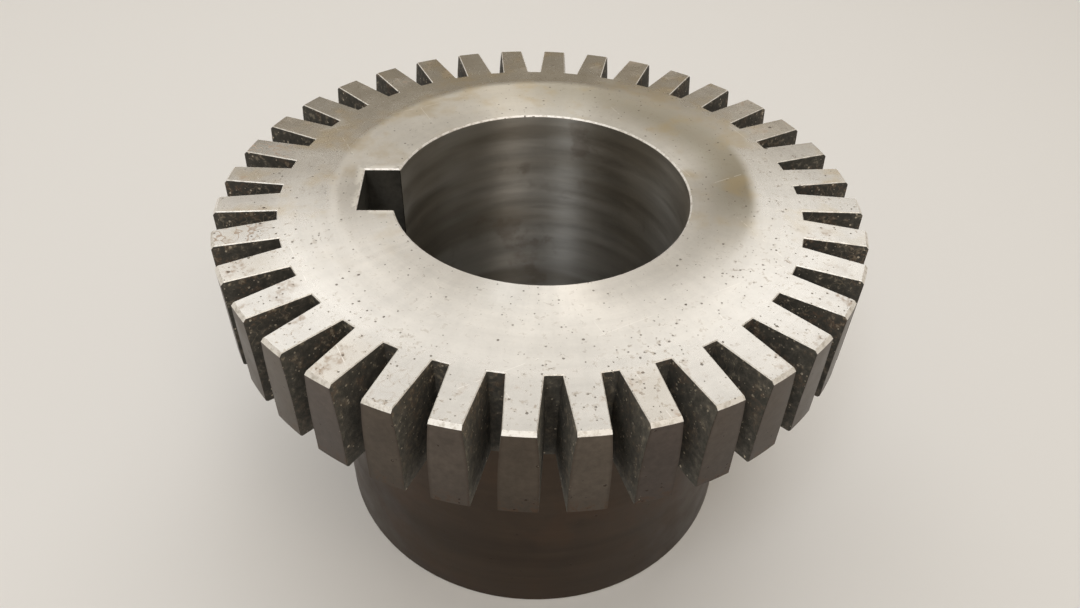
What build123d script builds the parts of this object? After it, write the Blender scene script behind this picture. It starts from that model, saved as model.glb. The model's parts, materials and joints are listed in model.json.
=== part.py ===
from build123d import *

import math
import os

# One half of a resilient grid coupling for two shafts: a steel barrel, keyed to a shaft, with a
# flange at one end. Radial slots round the flange's rim take the rungs of a spring grid.
# +Z runs along the bore, from the barrel's end to the gap face, which faces the other hub.
# The origin is the centre of the barrel's end face. Every size is in millimetres.

INCH = 25.4

# Driving dimensions of the hub
HUB_LENGTH = 4.75 * INCH
BARREL_RADIUS = 71.0
FLANGE_RADIUS = 7.75 * INCH / 2
FLANGE_THICKNESS = 30.0
BORE_RADIUS = 3.625 * INCH / 2

# Keyway for the square key that goes with this bore. It lies in line with one of the slots.
KEY_WIDTH = 0.875 * INCH
KEY_DEPTH = KEY_WIDTH / 2
KEY_ANGLE = 180.0

# Grid slots: wider at the rim than at the root, straight at the back, flared to the gap face
SLOT_COUNT = 36
SLOT_ROOT_RADIUS = 79.85
SLOT_ROOT_WIDTH = 3.2
SLOT_RIM_WIDTH = 7.04
ROOT_FLARE = 0.67
RIM_FLARE = 1.15
FLARE_LENGTH = 20.0

# Edge breaks
RIM_CHAMFER = 1.0
FLANGE_BACK_CHAMFER = 0.5
BARREL_CHAMFER = 1.6
BORE_FACE_CHAMFER = 0.5
BORE_END_CHAMFER = 1.6
SLOT_EDGE_BREAK = 0.25
KEY_EDGE_BREAK = 0.4
NECK_FILLET = 3.0

# Setscrew over the keyway: 5/8 inch thread, hexagon socket, cup point
SCREW_HEIGHT = 30.0
SCREW_LENGTH = 0.5 * INCH
SCREW_RADIUS = 0.625 * INCH / 2 - 0.04
SCREW_HOLE_RADIUS = 0.625 * INCH / 2 + 0.01
SCREW_END_CHAMFER = 1.2
SOCKET_FLATS = 5 / 16 * INCH
SOCKET_DEPTH = 6.4
SOCKET_MOUTH = 0.5
CUP_RADIUS = 4.2
CUP_FLOOR_RADIUS = 0.6
CUP_DEPTH = 1.8
SCREW_SETBACK = 0.5
HOLE_COUNTERSINK = 0.8

# Worked out from the driving dimensions
FLANGE_BACK = HUB_LENGTH - FLANGE_THICKNESS
KEY_HALF = KEY_WIDTH / 2
KEY_FLOOR = math.sqrt(BORE_RADIUS**2 - KEY_HALF**2) + KEY_DEPTH
SLOT_DEPTH = FLANGE_RADIUS - SLOT_ROOT_RADIUS
SLOT_TAPER = (SLOT_RIM_WIDTH - SLOT_ROOT_WIDTH) / SLOT_DEPTH
FLARE_TAPER = (RIM_FLARE - ROOT_FLARE) / SLOT_DEPTH

# How far a cutting solid reaches past the surface that it cuts
OVERCUT = 2.0


def turned_blank():
    """The hub as it leaves the lathe: barrel, neck fillet, flange and bore."""
    barrel = [
        (BORE_RADIUS + BORE_END_CHAMFER, 0),
        (BARREL_RADIUS - BARREL_CHAMFER, 0),
        (BARREL_RADIUS, BARREL_CHAMFER),
        (BARREL_RADIUS, FLANGE_BACK - NECK_FILLET),
    ]
    flange = [
        (BARREL_RADIUS + NECK_FILLET, FLANGE_BACK),
        (FLANGE_RADIUS - FLANGE_BACK_CHAMFER, FLANGE_BACK),
        (FLANGE_RADIUS, FLANGE_BACK + FLANGE_BACK_CHAMFER),
        (FLANGE_RADIUS, HUB_LENGTH - RIM_CHAMFER),
        (FLANGE_RADIUS - RIM_CHAMFER, HUB_LENGTH),
        (BORE_RADIUS + BORE_FACE_CHAMFER, HUB_LENGTH),
        (BORE_RADIUS, HUB_LENGTH - BORE_FACE_CHAMFER),
        (BORE_RADIUS, BORE_END_CHAMFER),
        barrel[0],
    ]
    neck = RadiusArc(barrel[-1], flange[0], NECK_FILLET)
    profile = make_face([Polyline(*barrel), neck, Polyline(*flange)])
    return revolve(Plane.XZ * profile, Axis.Z, 360)


def slot_section(radius):
    """A slot's outline at one distance from the bore: straight sides, then an arc that flares."""
    out = radius - SLOT_ROOT_RADIUS
    half = (SLOT_ROOT_WIDTH + SLOT_TAPER * out) / 2
    flare = ROOT_FLARE + FLARE_TAPER * out
    start = HUB_LENGTH - FLARE_LENGTH
    arc_radius = (FLARE_LENGTH**2 + flare**2) / (2 * flare)

    def side(sign, z):
        rise = max(z - start, 0)
        widening = arc_radius - math.sqrt(arc_radius**2 - rise**2)
        return Vector(radius, sign * (half + widening), z)

    bottom, top = FLANGE_BACK - OVERCUT, HUB_LENGTH + OVERCUT
    left, right = [[side(sign, z) for z in (bottom, start, (start + top) / 2, top)] for sign in (1, -1)]
    edges = [
        Line(left[0], left[1]),
        ThreePointArc(left[1], left[2], left[3]),
        Line(left[3], right[3]),
        ThreePointArc(right[3], right[2], right[1]),
        Line(right[1], right[0]),
        Line(right[0], left[0]),
    ]
    return Wire(edges)


def bevel_cutter(inner, inner_half, outer, outer_half, edge_break):
    """A flaring plug that breaks the edge round a notch in the gap face, from inner to outer radius."""

    def outline(grow_in, grow_out, grow_side, z):
        near, far = inner - grow_in, outer + grow_out
        near_half, far_half = inner_half + grow_side, outer_half + grow_side
        corners = [(near, -near_half), (far, -far_half), (far, far_half), (near, near_half)]
        return Wire.make_polygon([Vector(x, y, z) for x, y in corners], close=True)

    grow = edge_break + OVERCUT
    low = outline(0, 0, 0, HUB_LENGTH - edge_break)
    high = outline(grow, grow, grow, HUB_LENGTH + OVERCUT)
    return Solid.make_loft([low, high], ruled=True)


def slot_cutters():
    """Every grid slot, and the small bevel round its edge at the gap face."""
    outer = FLANGE_RADIUS + OVERCUT
    slot = Solid.make_loft([slot_section(SLOT_ROOT_RADIUS), slot_section(outer)], ruled=True)
    root_half = SLOT_ROOT_WIDTH / 2 + ROOT_FLARE
    outer_half = root_half + (SLOT_TAPER / 2 + FLARE_TAPER) * (outer - SLOT_ROOT_RADIUS)
    bevel = bevel_cutter(SLOT_ROOT_RADIUS, root_half, outer, outer_half, SLOT_EDGE_BREAK)
    turns = [Rot(0, 0, i * 360 / SLOT_COUNT) for i in range(SLOT_COUNT)]
    return [turn * tool for turn in turns for tool in (slot, bevel)]


def keyway_cutters():
    """The keyway, through the whole length, and the small bevel round it at the gap face."""
    inner = BORE_RADIUS / 2
    slab = Pos((inner + KEY_FLOOR) / 2, 0, HUB_LENGTH / 2) * Box(
        KEY_FLOOR - inner, KEY_WIDTH, HUB_LENGTH + 2 * OVERCUT
    )
    bevel = bevel_cutter(inner, KEY_HALF, KEY_FLOOR, KEY_HALF, KEY_EDGE_BREAK)
    return [Rot(0, 0, KEY_ANGLE) * tool for tool in (slab, bevel)]


def on_screw_axis(distance):
    """The place on the setscrew's axis, pointing away from the bore, at a distance from it."""
    return Rot(0, 0, KEY_ANGLE) * Pos(distance, 0, SCREW_HEIGHT) * Rot(0, 90, 0)


def screw_hole_cutters():
    """The setscrew's hole through the barrel's wall into the keyway, and its countersink."""
    base = (Align.CENTER, Align.CENTER, Align.MIN)
    depth = BARREL_RADIUS + OVERCUT - BORE_RADIUS
    hole = Cylinder(SCREW_HOLE_RADIUS, depth, align=base)
    sink = HOLE_COUNTERSINK + OVERCUT
    cone = Cone(SCREW_HOLE_RADIUS, SCREW_HOLE_RADIUS + sink, sink, align=base)
    return [on_screw_axis(BORE_RADIUS) * hole, on_screw_axis(BARREL_RADIUS - HOLE_COUNTERSINK) * cone]


def hub():
    """The hub, one solid: the turned blank with its slots, keyway and setscrew hole cut out."""
    return turned_blank().cut(*slot_cutters(), *keyway_cutters(), *screw_hole_cutters())


def setscrew():
    """The setscrew, built upwards from its cup point and then laid in its hole."""
    base = (Align.CENTER, Align.CENTER, Align.MIN)
    rod = Cylinder(SCREW_RADIUS, SCREW_LENGTH, align=base)
    rod = chamfer(rod.edges().filter_by(GeomType.CIRCLE), SCREW_END_CHAMFER)
    cup = Cone(CUP_RADIUS, CUP_FLOOR_RADIUS, CUP_DEPTH, align=base)
    hexagon = RegularPolygon(SOCKET_FLATS / 2, 6, major_radius=False)
    socket = Pos(0, 0, SCREW_LENGTH - SOCKET_DEPTH) * extrude(hexagon, SOCKET_DEPTH)
    mouth_radius = SOCKET_FLATS / math.sqrt(3)
    mouth = Cone(mouth_radius - SOCKET_MOUTH, mouth_radius + SOCKET_MOUTH, 2 * SOCKET_MOUTH)
    return on_screw_axis(KEY_FLOOR + SCREW_SETBACK) * (rod - cup - socket - Pos(0, 0, SCREW_LENGTH) * mouth)


def main():
    os.makedirs("parts", exist_ok=True)
    export_step(hub(), "parts/hub.step")
    export_step(setscrew(), "parts/setscrew.step")


main()
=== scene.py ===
"""The looks of a grid coupling hub and its setscrew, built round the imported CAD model.

Lengths are in metres in Blender, and in millimetres inside the materials and the setscrew's profile.
"""

import json
import math
from typing import NamedTuple

import bpy
from mathutils import Matrix, Vector


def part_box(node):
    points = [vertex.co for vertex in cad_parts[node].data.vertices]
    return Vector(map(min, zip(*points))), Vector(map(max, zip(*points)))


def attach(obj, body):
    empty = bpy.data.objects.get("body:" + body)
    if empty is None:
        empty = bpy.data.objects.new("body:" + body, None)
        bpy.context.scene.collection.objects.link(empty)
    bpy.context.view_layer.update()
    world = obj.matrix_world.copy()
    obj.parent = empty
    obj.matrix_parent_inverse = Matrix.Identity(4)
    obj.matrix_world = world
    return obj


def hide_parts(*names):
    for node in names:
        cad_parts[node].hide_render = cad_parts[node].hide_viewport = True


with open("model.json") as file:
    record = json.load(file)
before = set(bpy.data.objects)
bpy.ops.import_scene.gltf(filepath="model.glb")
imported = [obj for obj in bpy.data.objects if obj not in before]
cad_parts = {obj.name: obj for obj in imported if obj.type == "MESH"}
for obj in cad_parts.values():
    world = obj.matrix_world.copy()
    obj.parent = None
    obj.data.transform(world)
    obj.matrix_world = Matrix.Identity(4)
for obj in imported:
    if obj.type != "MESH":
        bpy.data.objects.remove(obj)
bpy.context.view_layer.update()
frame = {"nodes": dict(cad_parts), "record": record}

MM = 0.001

# The frame's own sizes
HUB_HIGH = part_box("hub")[1]
SCREW_LOW, SCREW_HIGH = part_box("setscrew")
MOUNTS = {mount["name"]: mount for mount in frame["record"]["mounts"]}
LENGTH = HUB_HIGH.z / MM
BORE_RADIUS = MOUNTS["bore"]["dims"]["r_mm"]
BARREL_RADIUS = MOUNTS["barrel_seat"]["dims"]["r_mm"]

# Sizes of the hub that the frame doesn't give
RIM_RADIUS = 98.425
FLANGE_BACK = LENGTH - 30.0
RIM_CHAMFER = 1.0
KEY_HALF = 11.1125
KEY_FLOOR = 55.79

# The slots: half widths at the root and at the rim, and what the flare adds to each at the gap face
SLOT_COUNT = 36
ROOT_RADIUS = 79.85
ROOT_HALF, RIM_HALF = 1.60, 3.52
ROOT_FLARE, RIM_FLARE = 0.67, 1.15
FLARE_LENGTH = 20.0

# The setscrew: it lies along X, with its socket at the low end
SCREW_HOLE_RADIUS = 7.95
SCREW_RADIUS = 7.89
SCREW_LENGTH = (SCREW_HIGH.x - SCREW_LOW.x) / MM
SCREW_AXIS_HEIGHT = (SCREW_LOW.z + SCREW_HIGH.z) / 2 / MM
THREAD_PITCH = 25.4 / 11
THREAD_DEPTH = 1.25
END_CHAMFER = 1.2
CUP_RADIUS, CUP_DEPTH, CUP_TIP_RADIUS = 4.2, 1.8, 0.6
SOCKET_FLATS, SOCKET_DEPTH, SOCKET_MOUTH = 7.94, 6.4, 0.5
SOCKET_DRILL_RADIUS, SOCKET_DRILL_DEPTH = 3.2, 1.3
SCREW_SIDES, RINGS_PER_PITCH = 96, 14

# The ring on the gap face inside which the lathe's marks are left
RING_CENTRE = (1.5, 5.0)
RING_RADIUS = 65.5
TEETH_FROM, TEETH_TO = 78.0, 86.0

# Linear colours of each bare finish, darkest and lightest
FACED_STEEL = (0.600, 0.580, 0.543), (0.650, 0.635, 0.606)
# The rim's colours are darkened by a painted reflection of a dark floor
RIM_STEEL_AND_DARK_REFLECTION = (0.076, 0.059, 0.045), (0.126, 0.106, 0.087)
# The barrel's colours are darkened by the flange's painted shadow and a painted reflection of a dark floor
BARREL_STEEL_AND_SHADE = (0.050, 0.035, 0.025), (0.072, 0.054, 0.041)
END_STEEL = (0.22, 0.190, 0.155), (0.36, 0.330, 0.285)
BORE_STEEL = (0.345, 0.325, 0.290), (0.50, 0.49, 0.465)
GREASE = (0.050, 0.048, 0.041), (0.096, 0.089, 0.075)
KEYWAY_OIL = (0.065, 0.065, 0.060), (0.115, 0.110, 0.098)
# Broken edges: rubbed steel with a painted highlight
EDGE_STEEL_AND_HIGHLIGHT = (0.68, 0.65, 0.60), (0.97, 0.955, 0.925)
# Painted shade in the threaded hole's roots, and the steel of its crests
THREAD_ROOT_SHADE_AND_STEEL = (0.030, 0.026, 0.022), (0.34, 0.32, 0.29)
BLACK_OXIDE = (0.022, 0.022, 0.025), (0.060, 0.060, 0.066)

# Linear colours of what lies on the steel
# Painted dark reflection, laid over the gap face's turned zone on the far right
PAINTED_DARK_REFLECTION = (0.300, 0.268, 0.200)
# Painted shade, darkening the gap face towards the far side
PAINTED_FAR_SHADE = (0.400, 0.362, 0.280)
TARNISH = (0.45, 0.35, 0.19)
WARM_CAST = (0.47, 0.38, 0.25)
BLOTCH = (0.28, 0.23, 0.17)
RUST = (0.34, 0.20, 0.105)
STROKE = (0.16, 0.12, 0.09)
# Painted highlight of burrs on the keyway's edges
PAINTED_BURR_HIGHLIGHT = (0.95, 0.93, 0.88)
SCRATCH = (0.90, 0.88, 0.84)
SCUFF = (0.62, 0.60, 0.56)
SMUDGE = (0.17, 0.13, 0.10)
RIM_TINGE = (0.102, 0.086, 0.082)
RIM_EDGE = (0.055, 0.040, 0.030)
RIM_RUST = (0.085, 0.048, 0.028)
RIM_DUST = (0.36, 0.32, 0.26)
BARREL_RUST = (0.090, 0.053, 0.034)
SLOT_RUST = (0.120, 0.066, 0.038)
FIBRE = (0.33, 0.27, 0.19)
SLOT_DUST = (0.33, 0.29, 0.22)
SWARF = (0.62, 0.55, 0.44)
KEYWAY_FLECK = (0.25, 0.19, 0.12)
THREAD_CREST = (0.33, 0.32, 0.31)
GAP_FACE_PIT = (0.075, 0.055, 0.040)
RIM_PIT = (0.035, 0.024, 0.018)
BARREL_PIT = (0.04, 0.027, 0.020)
END_PIT = (0.08, 0.05, 0.035)
EDGE_NICK = (0.10, 0.075, 0.055)

# The stage: linear colours, the paper's half side and height, and the lights' distance, in metres
PAPER = (0.82, 0.82, 0.82)
PAPER_HALF, PAPER_HEIGHT = 20.0, -0.05 * MM
SKY = (0.395, 0.345, 0.275)
COOL, WARM = (0.94, 0.97, 1.0), (1.0, 0.86, 0.70)
LIGHT_DISTANCE = 1.2


# ---------------------------------------------------------------- shader node helpers


class Graph:
    """A material's nodes, made one call at a time. Every method returns an output socket."""

    def __init__(self, name):
        self.material = bpy.data.materials.new(name)
        self.material.use_nodes = True
        self.tree = self.material.node_tree
        self.shader = self.tree.nodes["Principled BSDF"]

    def node(self, kind, **settings):
        made = self.tree.nodes.new(kind)
        for key, value in settings.items():
            setattr(made, key, value)
        return made

    def feed(self, socket, value):
        if isinstance(value, bpy.types.NodeSocket):
            self.tree.links.new(value, socket)
        elif isinstance(value, tuple) and len(value) == 3 and socket.type == "RGBA":
            socket.default_value = (*value, 1.0)
        else:
            socket.default_value = value

    def math(self, operation, *values, clamp=False):
        made = self.node("ShaderNodeMath", operation=operation, use_clamp=clamp)
        for socket, value in zip(made.inputs, values):
            self.feed(socket, value)
        return made.outputs[0]

    def add(self, a, b):
        return self.math("ADD", a, b)

    def sub(self, a, b):
        return self.math("SUBTRACT", a, b)

    def mul(self, *values):
        result = values[0]
        for value in values[1:]:
            result = self.math("MULTIPLY", result, value)
        return result

    def larger(self, a, b):
        return self.math("MAXIMUM", a, b)

    def size_of(self, value):
        return self.math("ABSOLUTE", value)

    def vector(self, operation, *values):
        made = self.node("ShaderNodeVectorMath", operation=operation)
        for socket, value in zip(made.inputs, values):
            self.feed(socket, value)
        return made

    def join(self, x, y, z):
        made = self.node("ShaderNodeCombineXYZ")
        for socket, value in zip(made.inputs, (x, y, z)):
            self.feed(socket, value)
        return made.outputs[0]

    def step(self, value, low, high):
        """0 below low, 1 above high, smooth between. With low above high it falls instead."""
        made = self.node("ShaderNodeMapRange", interpolation_type="SMOOTHSTEP")
        self.feed(made.inputs["Value"], value)
        falling = low > high
        self.feed(made.inputs["From Min"], min(low, high))
        self.feed(made.inputs["From Max"], max(low, high))
        self.feed(made.inputs["To Min"], 1.0 if falling else 0.0)
        self.feed(made.inputs["To Max"], 0.0 if falling else 1.0)
        return made.outputs["Result"]

    def scale(self, value, to_low, to_high, from_low=0.0, from_high=1.0):
        made = self.node("ShaderNodeMapRange")
        self.feed(made.inputs["Value"], value)
        self.feed(made.inputs["From Min"], from_low)
        self.feed(made.inputs["From Max"], from_high)
        self.feed(made.inputs["To Min"], to_low)
        self.feed(made.inputs["To Max"], to_high)
        return made.outputs["Result"]

    def spread(self, noise, to_low, to_high):
        """A noise's middle values, which most of it keeps to, spread over a range."""
        return self.scale(noise, to_low, to_high, 0.3, 0.7)

    def mix(self, share, a, b):
        """Colour a where share is 0, colour b where it is 1."""
        made = self.node("ShaderNodeMix", data_type="RGBA")
        self.feed(made.inputs[0], share)
        self.feed(made.inputs[6], a)
        self.feed(made.inputs[7], b)
        return made.outputs[2]

    def blend(self, share, a, b):
        """Number a where share is 0, number b where it is 1."""
        made = self.node("ShaderNodeMix", data_type="FLOAT")
        self.feed(made.inputs[0], share)
        self.feed(made.inputs[2], a)
        self.feed(made.inputs[3], b)
        return made.outputs[0]

    def tint(self, colour, factor):
        """A colour made lighter or darker by a number."""
        grey = self.node("ShaderNodeCombineColor")
        for channel in range(3):
            self.feed(grey.inputs[channel], factor)
        made = self.node("ShaderNodeMix", data_type="RGBA", blend_type="MULTIPLY")
        self.feed(made.inputs[0], 1.0)
        self.feed(made.inputs[6], colour)
        self.feed(made.inputs[7], grey.outputs[0])
        return made.outputs[2]

    def vary(self, colour, noise, low, high):
        """A colour tinted by a number that follows a noise from low to high."""
        return self.tint(colour, self.spread(noise, low, high))

    def noise(self, where, size, seed, detail=3.0, roughness=0.55, stretch=(1, 1, 1)):
        """Noise from 0 to 1 whose largest blobs are about size millimetres across."""
        scaled = tuple(s / size for s in stretch)
        moved = self.vector("MULTIPLY_ADD", where, scaled, (seed * 7.3, seed * 3.1, seed * 5.7))
        made = self.node("ShaderNodeTexNoise")
        self.feed(made.inputs["Vector"], moved.outputs[0])
        self.feed(made.inputs["Scale"], 1.0)
        self.feed(made.inputs["Detail"], detail)
        self.feed(made.inputs["Roughness"], roughness)
        return made.outputs["Fac"]

    def line(self, noise, width):
        """Thin crooked lines, 1 on a line, where a noise crosses its middle value."""
        return self.step(self.size_of(self.sub(noise, 0.5)), width, 0.0)

    def cells(self, where, spacing, seed):
        """A Voronoi pattern: the distance to the nearest point in mm, and two random numbers per cell."""
        scaled = (1 / spacing, 1 / spacing, 1 / spacing)
        moved = self.vector("MULTIPLY_ADD", where, scaled, (seed * 1.7, seed * 4.3, seed * 2.9))
        made = self.node("ShaderNodeTexVoronoi")
        self.feed(made.inputs["Vector"], moved.outputs[0])
        self.feed(made.inputs["Scale"], 1.0)
        dice = self.node("ShaderNodeSeparateColor")
        self.feed(dice.inputs[0], made.outputs["Color"])
        return self.mul(made.outputs["Distance"], spacing), dice.outputs[0], dice.outputs[1]

    def specks(self, cells, share, low, high, ragged=1.0):
        """Specks of radius low to high millimetres, most of them small, in a share of the cells."""
        distance, size_die, kept_die = cells
        reach = self.mul(self.scale(self.mul(size_die, size_die), low, high), ragged)
        inside = self.step(self.sub(reach, distance), 0.0, 0.5 * low)
        return self.mul(inside, self.math("LESS_THAN", kept_die, share))


class Surface(NamedTuple):
    """One kind of finish: sockets or constants, the height in mm. The grain is the gloss's anisotropy."""

    colour: object
    roughness: object
    metal: object = 1.0
    height: object = 0.0
    grain: object = 0.0


def layered(graph, base, layers):
    """Lay each (mask, surface) over the last."""
    for mask, top in layers:
        colour = graph.mix(mask, base.colour, top.colour)
        numbers = [graph.blend(mask, below, above) for below, above in zip(base[1:], top[1:])]
        base = Surface(colour, *numbers)
    return base


def finish_material(graph, surface):
    """Join a surface to the shader: its height as bump, its grain as gloss drawn out across the marks."""
    bump = graph.node("ShaderNodeBump")
    graph.feed(bump.inputs["Strength"], 1.0)
    graph.feed(bump.inputs["Distance"], MM)
    graph.feed(bump.inputs["Height"], surface.height)
    graph.feed(graph.shader.inputs["Base Color"], surface.colour)
    graph.feed(graph.shader.inputs["Roughness"], surface.roughness)
    graph.feed(graph.shader.inputs["Metallic"], surface.metal)
    graph.feed(graph.shader.inputs["Normal"], bump.outputs[0])
    if isinstance(surface.grain, bpy.types.NodeSocket):
        round_axis = graph.node("ShaderNodeTangent", direction_type="RADIAL", axis="Z")
        graph.feed(graph.shader.inputs["Anisotropic"], surface.grain)
        graph.shader.inputs["Anisotropic Rotation"].default_value = 0.25
        graph.feed(graph.shader.inputs["Tangent"], round_axis.outputs[0])
    return graph.material


class Place:
    """Where a point of the hub is, in millimetres and in the row frame, and which way its surface faces."""

    def __init__(self, graph):
        coordinates = graph.node("ShaderNodeTexCoord").outputs["Object"]
        self.where = graph.vector("MULTIPLY", coordinates, (1 / MM, 1 / MM, 1 / MM)).outputs[0]
        split = graph.node("ShaderNodeSeparateXYZ")
        graph.feed(split.inputs[0], self.where)
        self.x, self.y, self.z = split.outputs
        flat = graph.vector("MULTIPLY", self.where, (1.0, 1.0, 0.0)).outputs[0]
        self.radius = graph.vector("LENGTH", flat).outputs["Value"]
        self.angle = graph.math("ARCTAN2", self.y, self.x)
        outwards = graph.vector("NORMALIZE", flat).outputs[0]
        facing = graph.node("ShaderNodeNewGeometry").outputs["True Normal"]
        facing_split = graph.node("ShaderNodeSeparateXYZ")
        graph.feed(facing_split.inputs[0], facing)
        self.up = facing_split.outputs[2]
        self.outward = graph.vector("DOT_PRODUCT", facing, outwards).outputs["Value"]
        heading = graph.node("ShaderNodeSeparateXYZ")
        graph.feed(heading.inputs[0], outwards)

        # Textures that the finishes share. Marks and bands run round the axis, and rays across them
        level = graph.step(graph.size_of(self.up), 0.80, 0.90)
        across_marks = graph.blend(level, self.z, self.radius)
        heading_x, heading_y = heading.outputs[0], heading.outputs[1]
        marks = graph.join(across_marks, graph.mul(heading_x, 4), graph.mul(heading_y, 4))
        rays = graph.join(across_marks, graph.mul(heading_x, 80), graph.mul(heading_y, 80))
        self.drift = graph.noise(self.where, 42, seed=1, detail=2.0)
        self.cloud = graph.noise(self.where, 11, seed=2, detail=4.0, roughness=0.6)
        self.cluster = graph.noise(self.where, 19, seed=3, detail=3.0)
        self.fine = graph.noise(self.where, 2.0, seed=4, detail=4.0, roughness=0.68)
        self.worms = graph.noise(self.where, 3.2, seed=5, detail=1.0)
        self.marks = graph.noise(marks, 3.6, seed=6, detail=4.0, roughness=0.68)
        self.bands = graph.noise(marks, 15.0, seed=10, detail=2.0, stretch=(1, 2, 2))
        self.rays = graph.noise(rays, 4.0, seed=11, detail=3.0, stretch=(0.12, 1, 1))
        self.ragged = graph.spread(self.fine, 0.4, 1.6)
        self.small_cells = graph.cells(self.where, 1.35, seed=7)
        self.large_cells = graph.cells(self.where, 4.4, seed=8)

        # Each tooth's own three random numbers, and how far a point is from the nearest slot's wall
        pitch = 2 * math.pi / SLOT_COUNT
        tooth = graph.math("FLOOR", graph.math("DIVIDE", self.angle, pitch))
        dice = graph.node("ShaderNodeTexWhiteNoise", noise_dimensions="1D")
        graph.feed(dice.inputs["W"], tooth)
        draw = graph.node("ShaderNodeSeparateColor")
        graph.feed(draw.inputs[0], dice.outputs["Color"])
        self.dice = draw.outputs
        nearest = graph.math("ROUND", graph.math("DIVIDE", self.angle, pitch))
        turned = graph.sub(self.angle, graph.mul(nearest, pitch))
        aside = graph.size_of(graph.mul(self.radius, graph.math("SINE", turned)))
        rise = graph.scale(self.z, 0.0, 1.0, LENGTH - FLARE_LENGTH, LENGTH)
        flare = graph.scale(self.radius, ROOT_FLARE, RIM_FLARE, ROOT_RADIUS, RIM_RADIUS)
        half = graph.scale(self.radius, ROOT_HALF, RIM_HALF, ROOT_RADIUS, RIM_RADIUS)
        self.to_slot = graph.sub(aside, graph.add(half, graph.mul(flare, rise, rise)))


# ---------------------------------------------------------------- the hub's steel


def scratches(graph, at, heading, spacing):
    """Straight fine lines on a level face, spacing mm apart, each only where a cloud crosses it."""
    turn = math.radians(heading)
    across = graph.add(graph.mul(at.x, math.cos(turn)), graph.mul(at.y, math.sin(turn)))
    off = graph.size_of(graph.sub(graph.math("FLOORED_MODULO", across, spacing), spacing / 2))
    return graph.mul(graph.step(off, 0.16, 0.04), graph.step(at.cloud, 0.555, 0.58))


def turned_zone(graph, at, far_half):
    """Where the lathe's marks are left, and where a painted dark reflection darkens them.

    On the far half they end at a ring that isn't centred on the bore, worn away in one stretch. At the
    front they fade out towards the teeth.
    """
    aside, beyond = graph.sub(at.x, RING_CENTRE[0]), graph.sub(at.y, RING_CENTRE[1])
    ring = graph.math("SQRT", graph.add(graph.mul(aside, aside), graph.mul(beyond, beyond)))
    ring = graph.add(ring, graph.spread(at.drift, -1.2, 1.2))
    worn_away = graph.mul(graph.step(at.angle, 0.25, 0.55), graph.step(at.angle, 1.35, 1.05))
    sharp_edge = graph.step(ring, RING_RADIUS + 2.3, RING_RADIUS - 2.3)
    soft_edge = graph.step(ring, RING_RADIUS + 12.5, RING_RADIUS - 11.5)
    far_edge = graph.blend(worn_away, sharp_edge, soft_edge)
    turned = graph.blend(far_half, graph.step(at.radius, 84.0, 50.0), far_edge)
    outer_part = graph.step(ring, RING_RADIUS - 27.5, RING_RADIUS - 3.5)
    # Painted dark reflection: darker in the ring's outer part, on the far right
    dark_reflection = graph.mul(turned, outer_part, graph.step(at.x, -40.0, 50.0), far_half)
    return turned, dark_reflection


def gap_face_pits(graph, at, density):
    """Small pits, most of them faint, and fewer large ones."""
    small = graph.specks(at.small_cells, graph.scale(density, 0.22, 1.0), 0.12, 0.36, at.ragged)
    large = graph.specks(at.large_cells, graph.scale(density, 0.06, 0.62), 0.20, 0.60, at.ragged)
    faint = graph.scale(at.small_cells[1], 0.12, 0.80)
    return graph.larger(graph.mul(small, faint), large)


def gap_face_rust(graph, at, on_teeth):
    """Worm-shaped tracks on a few teeth, and stains on all of them."""
    rusty = graph.mul(graph.step(at.dice[1], 0.80, 0.88), graph.step(at.radius, 80.0, 87.0))
    worms = graph.mul(graph.line(at.worms, 0.045), rusty)
    stain = graph.mul(graph.step(at.cloud, 0.54, 0.68), graph.step(at.fine, 0.42, 0.60), on_teeth, 0.6)
    return graph.larger(graph.mul(worms, 0.8), stain)


def keyway_burr_highlight(graph, at):
    """A painted highlight, in places, where burrs on the keyway's edges on the gap face catch the light."""
    off_walls = graph.sub(graph.size_of(at.y), KEY_HALF)
    off_floor = graph.sub(graph.mul(at.x, -1.0), KEY_FLOOR)
    beside = graph.step(graph.larger(off_walls, off_floor), 3.0, 0.8)
    by_key = graph.mul(beside, graph.step(at.x, -20.0, -35.0))
    return graph.mul(by_key, graph.step(at.cloud, 0.40, 0.47), graph.step(at.fine, 0.30, 0.46))


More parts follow.
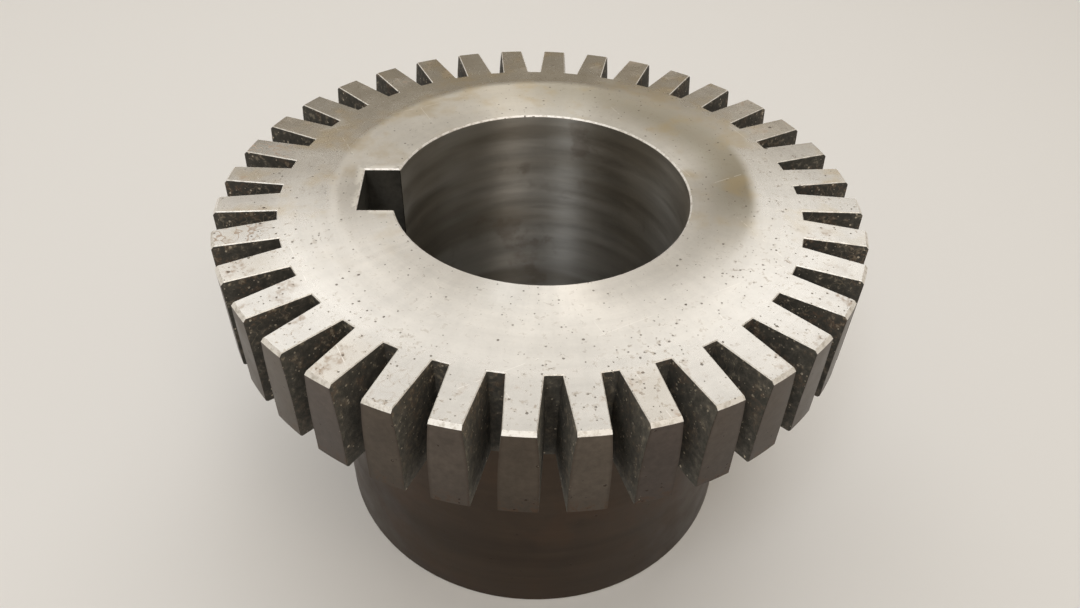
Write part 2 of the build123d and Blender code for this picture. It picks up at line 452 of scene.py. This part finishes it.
def gap_face_surface(graph, at):
    """Faced steel: bright and warm, turned marks near the bore, pits and rust towards the teeth."""
    steel = graph.mix(at.drift, *FACED_STEEL)
    steel = graph.vary(steel, at.cloud, 0.950, 1.050)
    steel = graph.vary(steel, at.fine, 0.960, 1.035)
    steel = graph.vary(steel, at.marks, 0.955, 1.045)
    steel = graph.vary(steel, at.bands, 0.970, 1.030)
    steel = graph.vary(steel, at.rays, 0.970, 1.030)

    # Lighter where it is turned, and lighter still at the front by a painted highlight; a painted dark
    # reflection on the far right, and painted shade darkening the far side
    far_half = graph.step(at.y, -50.0, 5.0)
    on_teeth = graph.step(at.radius, TEETH_FROM, TEETH_TO)
    turned, dark_reflection = turned_zone(graph, at, far_half)
    # The turned zone made lighter, and lighter still at the front by a painted highlight
    lightness_and_front_highlight = graph.scale(at.y, 1.25, 1.18, -60.0, -25.0)
    steel = graph.tint(steel, graph.scale(turned, 0.950, lightness_and_front_highlight))
    steel = graph.mix(graph.mul(dark_reflection, 0.92), steel, PAINTED_DARK_REFLECTION)
    # Painted shade: the far side darker, less so on the teeth
    tan = graph.mul(graph.scale(at.y, 0.0, 0.60, -10.0, 85.0), graph.scale(on_teeth, 1.0, 0.72))
    steel = graph.mix(tan, steel, PAINTED_FAR_SHADE)

    # Yellow-brown tarnish in drifts, teeth darkened by painted shade, most on the left, and a warmer cast
    # on some of them
    tarnish = graph.mul(graph.step(at.cluster, 0.47, 0.64), graph.step(at.cloud, 0.38, 0.62), far_half)
    steel = graph.mix(graph.mul(tarnish, 0.50), steel, TARNISH)
    # Painted shade: the teeth darker, most of all on the left
    steel = graph.tint(steel, graph.blend(on_teeth, 1.0, graph.scale(at.x, 0.83, 0.94, -75.0, -15.0)))
    warm = graph.mul(on_teeth, graph.step(at.dice[0], 0.60, 1.0))
    steel = graph.mix(graph.mul(warm, 0.16), steel, WARM_CAST)

    # Blotches, pits, rust and dark strokes, thicker towards the rim and the front, in clusters
    towards_rim = graph.scale(at.radius, 0.35, 1.0, 55.0, 90.0)
    towards_front = graph.scale(at.y, 1.0, 0.6, -35.0, 25.0)
    density = graph.mul(towards_rim, towards_front, graph.scale(at.cluster, 1.0, 0.2, 0.40, 0.62))
    blotch = graph.mul(graph.step(at.fine, 0.55, 0.66), density)
    pitted = gap_face_pits(graph, at, density)
    rust = gap_face_rust(graph, at, on_teeth)
    some = graph.scale(density, 0.25, 1.0)
    stroke = graph.mul(graph.line(at.worms, 0.018), graph.step(at.fine, 0.53, 0.60), some)
    steel = graph.mix(graph.mul(blotch, 0.60), steel, BLOTCH)
    steel = graph.mix(graph.mul(pitted, 0.85), steel, GAP_FACE_PIT)
    steel = graph.mix(graph.mul(rust, 0.60), steel, RUST)
    steel = graph.mix(graph.mul(stroke, 0.70), steel, STROKE)

    # Bright places: a painted highlight of burrs on the keyway's edges, and a few straight scratches that
    # run two ways
    steel = graph.mix(graph.mul(keyway_burr_highlight(graph, at), 0.80), steel, PAINTED_BURR_HIGHLIGHT)
    scratched = graph.larger(scratches(graph, at, 25, 31.0), scratches(graph, at, -63, 43.0))
    steel = graph.mix(graph.mul(scratched, at.fine, 0.8), steel, SCRATCH)

    height = graph.sub(graph.mul(at.marks, 0.020), graph.mul(pitted, 0.06))
    satin = graph.spread(at.cloud, 0.22, 0.29)
    roughness = graph.add(graph.blend(turned, satin, 0.45), graph.mul(graph.larger(pitted, rust), 0.25))
    metal = graph.sub(1.0, graph.mul(graph.larger(pitted, graph.mul(rust, 0.5)), 0.6))
    return Surface(steel, roughness, metal, height, graph.scale(turned, 0.10, 0.95))


def rim_surface(graph, at):
    """The teeth's outer faces: turned, browned and darkened by a painted reflection of a dark floor, each a
    little different, pitted near the back.
    """
    # Painted reflection of a dark floor: the rim's steel kept very dark
    steel = graph.mix(at.dice[2], *RIM_STEEL_AND_DARK_REFLECTION)
    steel = graph.mix(graph.mul(graph.step(at.dice[0], 0.4, 0.9), 0.5), steel, RIM_TINGE)
    steel = graph.vary(steel, at.cloud, 0.84, 1.16)
    steel = graph.vary(steel, at.fine, 0.86, 1.14)
    steel = graph.tint(steel, graph.scale(at.z, 0.78, 1.08, FLANGE_BACK, LENGTH))
    edge = graph.step(at.to_slot, 0.9, 0.1)
    steel = graph.mix(graph.mul(edge, 0.40), steel, RIM_EDGE)
    low = graph.scale(at.z, 1.0, 0.2, FLANGE_BACK + 2, FLANGE_BACK + 14)
    by_back = graph.step(at.z, FLANGE_BACK + 7, FLANGE_BACK + 1)
    rust = graph.mul(by_back, graph.step(at.fine, 0.48, 0.62), 0.6)
    steel = graph.mix(rust, steel, RIM_RUST)
    pitted = graph.specks(at.small_cells, graph.mul(low, 0.42), 0.16, 0.50, at.ragged)
    steel = graph.mix(graph.mul(pitted, 0.8), steel, RIM_PIT)
    dust = graph.specks(at.small_cells, graph.scale(edge, 0.03, 0.55), 0.12, 0.26, at.ragged)
    steel = graph.mix(graph.mul(dust, 0.6), steel, RIM_DUST)
    height = graph.sub(graph.mul(at.marks, 0.010), graph.mul(pitted, 0.05))
    return Surface(steel, graph.spread(at.cloud, 0.34, 0.46), 1.0, height, 0.3)


def barrel_surface(graph, at):
    """The barrel: turned, brown, darkened by the flange's painted shadow and a painted reflection of a dark
    floor, mildly stained.
    """
    # Painted shadow and reflection: the barrel's steel kept nearly black
    steel = graph.mix(at.drift, *BARREL_STEEL_AND_SHADE)
    steel = graph.vary(steel, at.cloud, 0.84, 1.14)
    steel = graph.vary(steel, at.marks, 0.92, 1.08)
    steel = graph.vary(steel, at.bands, 0.85, 1.15)
    brown = graph.step(at.cluster, 0.50, 0.68)
    steel = graph.mix(graph.mul(brown, 0.35), steel, BARREL_RUST)
    pitted = graph.specks(at.small_cells, 0.06, 0.14, 0.50, at.ragged)
    steel = graph.mix(graph.mul(pitted, 0.7), steel, BARREL_PIT)
    height = graph.sub(graph.mul(at.marks, 0.012), graph.mul(pitted, 0.04))
    return Surface(steel, graph.spread(at.cloud, 0.36, 0.50), 1.0, height, 0.3)


def end_face_surface(graph, at):
    """The barrel's end and the flange's back: faced like the gap face, but matte and scuffed."""
    steel = graph.mix(at.cloud, *END_STEEL)
    steel = graph.vary(steel, at.marks, 0.90, 1.10)
    scuff = graph.mul(graph.line(at.drift, 0.003), graph.step(at.cloud, 0.48, 0.54))
    steel = graph.mix(graph.mul(scuff, 0.6), steel, SCUFF)
    pitted = graph.specks(at.small_cells, 0.10, 0.14, 0.50, at.ragged)
    steel = graph.mix(graph.mul(pitted, 0.75), steel, END_PIT)
    height = graph.sub(graph.mul(at.marks, 0.016), graph.mul(pitted, 0.05))
    return Surface(steel, graph.spread(at.cloud, 0.36, 0.48), 1.0, height, 0.55)


def bore_surface(graph, at):
    """Bored steel: uneven bands and feed marks round it, dark smudges, and painted shade that darkens it
    deeper down.
    """
    steel = graph.mix(graph.step(at.bands, 0.38, 0.62), *BORE_STEEL)
    steel = graph.vary(steel, at.marks, 0.90, 1.10)
    # Painted shade: darker deeper down the bore
    steel = graph.tint(steel, graph.scale(at.z, 0.66, 1.0, 40.0, 84.0))
    smudge = graph.mul(graph.step(at.cluster, 0.54, 0.66), graph.step(at.cloud, 0.46, 0.62))
    steel = graph.mix(graph.mul(smudge, 0.40), steel, SMUDGE)
    height = graph.mul(at.marks, 0.012)
    return Surface(steel, graph.spread(at.marks, 0.38, 0.46), 1.0, height, 0.95)


def slot_surface(graph, at):
    """The slots' walls: rough, black with old grease, rusty near the gap face, flecked with swarf, with
    painted shade deeper down and painted light on those at the front.
    """
    colour = graph.mix(graph.step(at.fine, 0.35, 0.65), *GREASE)
    near_top = graph.scale(at.z, 0.25, 1.0, LENGTH - 24, LENGTH - 3)
    # Painted shade: darker deeper down the slots
    colour = graph.tint(colour, graph.scale(near_top, 0.75, 1.1))
    # Painted light: the slots at the front lighter, the others a little darker
    colour = graph.tint(colour, graph.scale(at.y, 1.60, 0.85, -94.0, -66.0))
    rust = graph.mul(graph.step(at.fine, 0.48, 0.60), graph.step(at.cloud, 0.46, 0.60), near_top)
    colour = graph.mix(graph.mul(rust, 0.6), colour, SLOT_RUST)
    fibres = graph.mul(graph.line(at.worms, 0.022), graph.step(at.cluster, 0.50, 0.58), near_top)
    colour = graph.mix(graph.mul(fibres, 0.45), colour, FIBRE)
    fleck = graph.specks(at.small_cells, graph.mul(near_top, 0.95), 0.15, 0.38, at.ragged)
    glint = graph.scale(at.small_cells[1], 0.40, 1.0)
    dust = graph.mul(graph.step(at.fine, 0.57, 0.66), near_top)
    colour = graph.mix(graph.mul(dust, 0.60), colour, SLOT_DUST)
    colour = graph.mix(graph.mul(fleck, glint), colour, SWARF)
    height = graph.add(graph.mul(at.fine, 0.30), graph.mul(fleck, 0.08))
    return Surface(colour, graph.blend(fleck, 0.80, 0.45), graph.mul(fleck, 0.4), height, 0.0)


def keyway_surface(graph, at):
    """The keyway's walls: broached, and black with oil."""
    colour = graph.mix(graph.step(at.cloud, 0.3, 0.7), *KEYWAY_OIL)
    colour = graph.vary(colour, at.fine, 0.8, 1.2)
    fleck = graph.specks(at.small_cells, 0.05, 0.10, 0.30, at.ragged)
    colour = graph.mix(graph.mul(fleck, 0.7), colour, KEYWAY_FLECK)
    return Surface(colour, graph.spread(at.cloud, 0.38, 0.55), 0.5, graph.mul(at.fine, 0.02), 0.0)


def edge_surface(graph, at):
    """Broken edges, rubbed bright and made lighter still by a painted highlight, with a nick here and
    there.
    """
    steel = graph.mix(graph.step(at.fine, 0.34, 0.56), *EDGE_STEEL_AND_HIGHLIGHT)
    nick = graph.specks(at.small_cells, 0.16, 0.16, 0.50, at.ragged)
    steel = graph.mix(graph.mul(nick, 0.75), steel, EDGE_NICK)
    return Surface(steel, 0.50, 0.55, graph.mul(nick, -0.06), 0.0)


def threaded_hole_surface(graph, at):
    """The setscrew hole's wall: its thread winds round the hole's axis, with painted shade in the roots
    between bright crests.
    """
    up = graph.sub(at.z, SCREW_AXIS_HEIGHT)
    around = graph.math("ARCTAN2", up, at.y)
    turns = graph.add(graph.mul(at.x, 1 / THREAD_PITCH), graph.mul(around, 1 / (2 * math.pi)))
    wave = graph.math("PINGPONG", turns, 0.5)
    crest = graph.step(wave, 0.30, 0.48)
    # Painted shade in the thread's roots, steel on its crests
    colour = graph.mix(crest, *THREAD_ROOT_SHADE_AND_STEEL)
    return Surface(colour, 0.42, 1.0, graph.mul(wave, 1.2), 0.0)


def hub_material():
    """The hub is one piece of steel, so one material tells its faces apart by place and direction."""
    graph = Graph("hub_steel")
    at = Place(graph)
    tilt = graph.size_of(at.up)
    upright = graph.step(tilt, 0.25, 0.15)
    level = graph.step(tilt, 0.93, 0.98)
    on_face = graph.mul(graph.step(at.z, LENGTH - 0.08, LENGTH - 0.04), graph.step(at.up, 0.93, 0.98))
    bevelled = graph.mul(graph.step(tilt, 0.30, 0.40), graph.step(tilt, 0.97, 0.93))
    top_edges = graph.mul(graph.step(at.z, LENGTH - RIM_CHAMFER - 0.1, LENGTH - RIM_CHAMFER), bevelled)
    back_edge = graph.mul(graph.step(at.radius, RIM_RADIUS - 0.8, RIM_RADIUS - 0.6), bevelled)
    end_edges = graph.mul(graph.step(at.z, 1.75, 1.65), bevelled)
    on_edge = graph.larger(top_edges, graph.mul(graph.larger(back_edge, end_edges), 0.45))
    by_bore = graph.step(at.radius, BORE_RADIUS + 0.5, BORE_RADIUS + 0.2)
    in_bore = graph.mul(by_bore, graph.step(at.outward, -0.85, -0.95))
    in_keyway = graph.mul(
        graph.step(at.radius, BORE_RADIUS + 0.05, BORE_RADIUS + 0.3),
        graph.step(at.radius, KEY_FLOOR + 2.0, KEY_FLOOR + 1.6),
        upright,
    )
    on_rim = graph.mul(graph.step(at.radius, RIM_RADIUS - 0.12, RIM_RADIUS - 0.06), upright)
    past_root = graph.step(at.radius, ROOT_RADIUS - 0.8, ROOT_RADIUS - 0.4)
    in_slot = graph.mul(past_root, graph.sub(1.0, on_rim), upright)
    height = graph.sub(at.z, SCREW_AXIS_HEIGHT)
    off_axis = graph.math("SQRT", graph.add(graph.mul(at.y, at.y), graph.mul(height, height)))
    in_hole = graph.mul(
        graph.step(at.x, -KEY_FLOOR + 0.3, -KEY_FLOOR - 0.05),
        graph.step(off_axis, SCREW_HOLE_RADIUS + 0.9, SCREW_HOLE_RADIUS + 0.05),
        graph.step(at.x, -BARREL_RADIUS - 0.2, -BARREL_RADIUS + 0.6),
    )
    surface = layered(
        graph,
        barrel_surface(graph, at),
        [
            (level, end_face_surface(graph, at)),
            (on_rim, rim_surface(graph, at)),
            (on_face, gap_face_surface(graph, at)),
            (in_bore, bore_surface(graph, at)),
            (in_slot, slot_surface(graph, at)),
            (in_keyway, keyway_surface(graph, at)),
            (in_hole, threaded_hole_surface(graph, at)),
            (on_edge, edge_surface(graph, at)),
        ],
    )
    return finish_material(graph, surface)


def paint(node, material):
    for slot in frame["nodes"][node].material_slots:
        slot.material = material


# ---------------------------------------------------------------- the setscrew


def setscrew_material():
    """Black oxide on a small screw: nearly black, satin, rubbed grey on the thread's crests."""
    graph = Graph("black_oxide_steel")
    coordinates = graph.node("ShaderNodeTexCoord").outputs["Object"]
    where = graph.vector("MULTIPLY", coordinates, (1 / MM, 1 / MM, 1 / MM)).outputs[0]
    split = graph.node("ShaderNodeSeparateXYZ")
    graph.feed(split.inputs[0], where)
    height = graph.sub(split.outputs[2], SCREW_AXIS_HEIGHT)
    aside = split.outputs[1]
    off_axis = graph.math("SQRT", graph.add(graph.mul(aside, aside), graph.mul(height, height)))
    mottle = graph.noise(where, 2.0, seed=9, detail=4.0)
    colour = graph.mix(mottle, *BLACK_OXIDE)
    worn = graph.scale(mottle, 0.3, 1.0, 0.35, 0.6)
    crest = graph.mul(graph.step(off_axis, SCREW_RADIUS - 0.25, SCREW_RADIUS), worn)
    colour = graph.mix(graph.mul(crest, 0.7), colour, THREAD_CREST)
    oxide = Surface(colour, graph.scale(mottle, 0.30, 0.46), 0.9, graph.mul(mottle, 0.01))
    return finish_material(graph, oxide)


def thread_radius(along, turn):
    """The thread's outline: flat crests and roots, and flanks that meet at 60 degrees, as a helix."""
    phase = (along / THREAD_PITCH + turn) % 1.0
    off_crest = abs(phase - 0.5) * THREAD_PITCH
    flank = (off_crest - THREAD_PITCH / 16) * math.tan(math.radians(60))
    return SCREW_RADIUS - min(max(flank, 0.0), THREAD_DEPTH)


def socket_radius(turn):
    """The socket's hexagon."""
    corner = math.radians(60)
    off_middle = (2 * math.pi * turn) % corner - corner / 2
    return SOCKET_FLATS / 2 / math.cos(off_middle)


def threaded_ring(along):
    """The screw's outline at a place along it: the thread, cut off by the chamfer at either end."""
    to_end = min(along, SCREW_LENGTH - along)
    limit = SCREW_RADIUS - END_CHAMFER + min(to_end, END_CHAMFER)
    return lambda turn: min(thread_radius(along, turn), limit)


def screw_rings():
    """Each ring's place along the screw, from the cup point, and its radius as a function of the turn.

    The tenths of a millimetre added and taken away break the edges.
    """
    steps = round(SCREW_LENGTH / THREAD_PITCH * RINGS_PER_PITCH)
    hex_corner = SOCKET_FLATS / math.sqrt(3)
    cup = [
        (CUP_DEPTH, lambda turn: CUP_TIP_RADIUS),
        (0.12, lambda turn: CUP_RADIUS - 0.12),
        (0.0, lambda turn: CUP_RADIUS + 0.1),
    ]
    body = [(SCREW_LENGTH * i / steps, threaded_ring(SCREW_LENGTH * i / steps)) for i in range(steps + 1)]
    socket = [
        (SCREW_LENGTH, lambda turn: hex_corner + SOCKET_MOUTH),
        (SCREW_LENGTH - SOCKET_MOUTH, lambda turn: min(socket_radius(turn) + 0.05, hex_corner)),
        (SCREW_LENGTH - SOCKET_MOUTH - 0.15, socket_radius),
        (SCREW_LENGTH - SOCKET_DEPTH, socket_radius),
        (SCREW_LENGTH - SOCKET_DEPTH - 0.25, lambda turn: SOCKET_DRILL_RADIUS),
    ]
    return cup + body + socket


def make_setscrew():
    """Rings of points from the cup point to the socket's floor, joined by faces, with a tip at each end."""
    rings = screw_rings()
    sides = SCREW_SIDES
    points = []
    for along, radius in rings:
        for i in range(sides):
            turn = i / sides
            angle = 2 * math.pi * turn
            x = SCREW_HIGH.x - along * MM
            y = radius(turn) * math.cos(angle) * MM
            z = (SCREW_AXIS_HEIGHT + radius(turn) * math.sin(angle)) * MM
            points.append((x, y, z))
    faces = []
    for ring in range(len(rings) - 1):
        for i in range(sides):
            a, b = ring * sides + i, ring * sides + (i + 1) % sides
            faces.append((a, b, b + sides, a + sides))
    cup_tip = len(points)
    points.append((SCREW_HIGH.x - (CUP_DEPTH + 0.1) * MM, 0, SCREW_AXIS_HEIGHT * MM))
    drill_tip = len(points)
    points.append((SCREW_LOW.x + (SOCKET_DEPTH + SOCKET_DRILL_DEPTH) * MM, 0, SCREW_AXIS_HEIGHT * MM))
    last = (len(rings) - 1) * sides
    for i in range(sides):
        following = (i + 1) % sides
        faces.append((cup_tip, following, i))
        faces.append((drill_tip, last + i, last + following))
    mesh = bpy.data.meshes.new("threaded_setscrew")
    mesh.from_pydata(points, [], faces)
    mesh.validate()
    mesh.shade_smooth()
    mesh.set_sharp_from_angle(angle=math.radians(32))
    mesh.materials.append(setscrew_material())
    screw = bpy.data.objects.new("threaded_setscrew", mesh)
    bpy.context.scene.collection.objects.link(screw)
    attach(screw, "setscrew")
    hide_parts("setscrew")
    return screw


# ---------------------------------------------------------------- stage, light and camera


def make_floor():
    """A pale sheet of paper, wide enough to fill the view and just clear of the barrel's end."""
    graph = Graph("floor_paper")
    graph.feed(graph.shader.inputs["Base Color"], PAPER)
    graph.feed(graph.shader.inputs["Roughness"], 0.9)
    mesh = bpy.data.meshes.new("floor")
    corners = [(-1, -1), (1, -1), (1, 1), (-1, 1)]
    points = [(x * PAPER_HALF, y * PAPER_HALF, PAPER_HEIGHT) for x, y in corners]
    mesh.from_pydata(points, [], [(0, 1, 2, 3)])
    mesh.materials.append(graph.material)
    floor = bpy.data.objects.new("floor", mesh)
    bpy.context.scene.collection.objects.link(floor)


def soft_box(name, azimuth, elevation, size, radiance, colour=(1, 1, 1)):
    """A rectangular light, its size in metres, that faces the gap face's centre.

    Azimuth and elevation are in degrees. Azimuth 0 is on the -Y side and 90 on the +X side.
    """
    turn, lift = math.radians(azimuth), math.radians(elevation)
    away = Vector((math.sin(turn) * math.cos(lift), -math.cos(turn) * math.cos(lift), math.sin(lift)))
    wide = (Vector((1, 0, 0)) - away.x * away).normalized()
    light = bpy.data.lights.new(name, "AREA")
    light.shape = "RECTANGLE"
    light.size, light.size_y = size
    light.energy = radiance * math.pi * size[0] * size[1]
    light.color = colour
    lamp = bpy.data.objects.new(name, light)
    columns = Matrix((wide, away.cross(wide), away)).transposed().to_4x4()
    lamp.matrix_world = Matrix.Translation(Vector((0, 0, HUB_HIGH.z)) + LIGHT_DISTANCE * away) @ columns
    bpy.context.scene.collection.objects.link(lamp)


def make_world():
    world = bpy.data.worlds.new("studio")
    world.use_nodes = True
    world.node_tree.nodes["Background"].inputs["Color"].default_value = (*SKY, 1)
    world.node_tree.nodes["Background"].inputs["Strength"].default_value = 1.0
    bpy.context.scene.world = world


def make_camera():
    """A phone's wide view, close to the hub, looking down on it and a little to one side of its Y axis."""
    lens, elevation, roll, turn = 28.37, math.radians(41.34), math.radians(-1.98), math.radians(-3.28)
    away, sideways, lift = 264.33 * MM, 0.70 * MM, -35.70 * MM
    around = Matrix.Rotation(turn, 3, "Z")
    right = around @ Vector((1, 0, 0))
    up = around @ Vector((0, math.sin(elevation), math.cos(elevation)))
    back = around @ Vector((0, -math.cos(elevation), math.sin(elevation)))
    aim = Vector((0, 0, HUB_HIGH.z))
    data = bpy.data.cameras.new("camera")
    data.sensor_width = 36.0
    data.lens = lens
    data.clip_start = 0.01
    camera = bpy.data.objects.new("camera", data)
    tilted_right = math.cos(roll) * right - math.sin(roll) * up
    tilted_up = math.sin(roll) * right + math.cos(roll) * up
    columns = Matrix((tilted_right, tilted_up, back)).transposed().to_4x4()
    place = aim + away * back + sideways * right + lift * up
    camera.matrix_world = Matrix.Translation(place) @ columns
    bpy.context.scene.collection.objects.link(camera)
    bpy.context.scene.camera = camera


paint("hub", hub_material())
make_setscrew()
make_floor()
make_world()
soft_box("key", 180, 61, (1.5, 1.07), 0.91)
soft_box("left", 226, 33, (1.12, 0.36), 0.84)
soft_box("right", 150, 35, (0.50, 0.30), 0.76)
soft_box("front", -5, 48, (1.2, 0.5), 0.47)
soft_box("streak", -28, 50, (0.18, 0.45), 9.2, COOL)
soft_box("lamp", 28, 50, (0.30, 0.45), 3.1, WARM)
soft_box("overhead", 54, 80, (0.35, 1.1), 1.5)
make_camera()
bpy.context.scene.view_settings.view_transform = "Standard"
